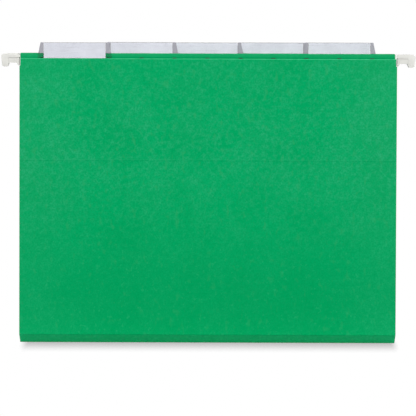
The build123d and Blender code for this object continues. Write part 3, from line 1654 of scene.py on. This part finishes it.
@dataclass
class Studio:
    """A patch of pale floor, a white background, soft light and the photograph's camera."""

    shape: FolderFrame
    image_pixels: float = 416.0
    millimetres_per_pixel: float = 0.7917
    image_middle: float = -114.4 * MM
    distance: float = 3.0
    elevation: float = 3.0
    sideways: float = 0.16 * MM
    roll: float = 0.20
    sensor: float = 36.0
    shadow_inset: float = 15.0 * MM
    shadow_reach: float = 101.0 * MM
    shadow_corner: float = 8.0 * MM
    shadow_spare: float = 1.6 * MM
    shadow_shift: float = 1.5 * MM
    shadow_depth: float = 0.55
    shadow_colour: Colour = (0.24, 0.19, 0.22)
    bounce_near: Colour = (0.84, 0.87, 1.00)
    bounce_off: Colour = (0.12, 0.12, 0.12)
    bounce_spare: float = 30.0 * MM
    world_strength: float = 0.4
    world_below: Colour = (0.25, 0.25, 0.25)
    horizon: float = 0.05
    lamps: tuple[Lamp, ...] = (
        Lamp("front_softbox", place=(0.0, -2.4, 0.30), size=0.8, watts=35.6, mirrored=False),
        Lamp("left_softbox", place=(-1.0, -1.2, 1.15), size=0.9, watts=5.6),
        Lamp("right_softbox", place=(1.0, -1.2, 1.15), size=0.9, watts=9.2),
        Lamp("rear_softbox", place=(0.0, 2.4, 0.35), size=1.6, watts=43.0, mirrored=False),
        Lamp("top_softbox", place=(0.0, 0.35, 1.2), size=1.2, watts=2.0),
    )

    def camera(self) -> None:
        """Place the camera so that the frame covers the same stretch of the front leaf."""
        data = bpy.data.cameras.new("camera")
        data.sensor_fit = "HORIZONTAL"
        data.sensor_width = self.sensor
        covered = self.image_pixels * self.millimetres_per_pixel * MM
        data.lens = self.sensor * self.distance / covered
        camera = bpy.data.objects.new("camera", data)
        tilt = math.radians(self.elevation)
        target = Vector((self.sideways, -self.shape.leaf_depth, self.image_middle))
        camera.location = target + Vector((0.0, -math.cos(tilt), math.sin(tilt))) * self.distance
        turn = Euler((math.pi / 2 - tilt, 0.0, 0.0)).to_matrix()
        roll = Euler((0.0, 0.0, math.radians(self.roll))).to_matrix()
        camera.rotation_euler = (turn @ roll).to_euler()
        bpy.context.scene.collection.objects.link(camera)
        bpy.context.scene.camera = camera

    @staticmethod
    def seen_directly(graph: Graph) -> Value:
        """Tell the rays that show the background: from the camera, a gloss or through something clear.

        Args:
            graph: the graph that asks.

        Returns:
            1 for such a ray, 0 for any other.
        """
        path = graph.add("ShaderNodeLightPath")
        camera, glossy = graph.out(path, "Is Camera Ray"), graph.out(path, "Is Glossy Ray")
        return camera.larger(glossy).larger(graph.out(path, "Is Transmission Ray"))

    def floor(self) -> None:
        """Lay a patch of floor that keeps the shadow by the folder and clears away to the background."""
        level = self.shape.fold_height - self.shape.card / 2
        depth = self.shape.leaf_depth - self.shadow_inset
        width = self.shape.half_width
        reach = (width + self.bounce_spare, depth + self.shadow_reach, 1.0)
        work = bmesh.new()
        bmesh.ops.create_grid(work, x_segments=2, y_segments=2, size=1.0)
        bmesh.ops.scale(work, verts=work.verts, vec=reach)
        bmesh.ops.translate(work, verts=work.verts, vec=(0.0, 0.0, level))
        mesh = mesh_from(work, "floor")
        mesh.materials.append(self.floor_finish(width, depth))
        new_object("floor", mesh)

    def floor_finish(self, width: float, depth: float) -> Material:
        """Build the floor's material, with the folder's soft shadow and the light that it throws back.

        Args:
            width: half the shadow's width.
            depth: how far the full shadow reaches from the middle.

        Returns:
            The material.
        """
        surface = Surface("floor")
        x = surface.axis("X")
        beside = abs(x - self.shadow_shift) - (width + self.shadow_spare - self.shadow_corner)
        across = beside.larger(0.0) * (self.shadow_reach / self.shadow_corner)
        away = (abs(surface.axis("Y")) - depth).larger(0.0)
        far = (across * across + away * away).root().ramp(0.0, self.shadow_reach)
        from_below = surface.value("ShaderNodeNewGeometry", output="Backfacing")
        dense = (1.0 - far) * (1.0 - from_below) * self.shadow_depth
        shadow_ray = surface.value("ShaderNodeLightPath", output="Is Shadow Ray")
        passing = self.seen_directly(surface).larger(shadow_ray)
        spread = away.ramp(0.0, self.shadow_reach).larger(abs(x).ramp(width, width + self.bounce_spare))
        bounce = surface.colours(spread, self.bounce_near, self.bounce_off)
        shade = surface.colours(passing, bounce, self.shadow_colour)
        diffuse = surface.value("ShaderNodeBsdfDiffuse", inputs={"Color": shade})
        clear = surface.value("ShaderNodeBsdfTransparent")
        blend = {0: (1.0 - dense) * passing, 1: diffuse, 2: clear}
        mixed = surface.value("ShaderNodeMixShader", inputs=blend)
        surface.add("ShaderNodeOutputMaterial", inputs={"Surface": mixed})
        return surface.material

    def world(self) -> None:
        """Light evenly from above and less from below, with plain white behind the object."""
        world = bpy.data.worlds.new("studio")
        world.use_nodes = True
        bpy.context.scene.world = world
        graph = Graph(world.node_tree)
        direction = graph.value("ShaderNodeTexCoord", output="Generated")
        height = graph.value("ShaderNodeSeparateXYZ", inputs={"Vector": direction}, output="Z")
        sky = graph.colours(height.ramp(-self.horizon, self.horizon), self.world_below, WHITE)
        glow = {"Color": sky, "Strength": self.world_strength}
        light = graph.value("ShaderNodeBackground", inputs=glow)
        white = graph.value("ShaderNodeBackground", inputs={"Color": WHITE, "Strength": 1.0})
        blend = {0: self.seen_directly(graph), 1: light, 2: white}
        mixed = graph.value("ShaderNodeMixShader", inputs=blend)
        graph.add("ShaderNodeOutputWorld", inputs={"Surface": mixed})

    def build(self) -> None:
        """Build the whole studio."""
        bpy.context.scene.view_settings.view_transform = "Standard"
        self.camera()
        self.floor()
        self.world()
        for lamp in self.lamps:
            lamp.build((0.0, 0.0, self.image_middle))


TAB_SIDES = {
    "far_left": Side.FRONT,
    "left": Side.FRONT,
    "centre": Side.REAR,
    "right": Side.REAR,
    "far_right": Side.REAR,
}


def main() -> None:
    """Build the folder's pieces in order and set up the studio."""
    logging.basicConfig(level=logging.INFO, format="%(message)s")
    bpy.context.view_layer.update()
    shape = FolderFrame.read()
    finishes = Finishes.build()
    pieces: list[Piece] = []
    for side in Side:
        pieces.append(CardLeaf(side, shape, finishes).build())
        pieces += Hanger(side, finishes).build()
    pieces += CardBottom(shape, finishes).build()
    inserts = InsertTree(finishes.paper)
    for place, side in TAB_SIDES.items():
        pieces.append(IndexTab(place, side, shape, finishes).build())
        pieces.append(LabelInsert(place).build(inserts))
    for piece in pieces:
        log.info("%s: %d faces", piece.name, len(piece.data.polygons))
    Studio(shape).build()


if __name__ == "__main__":
    main()
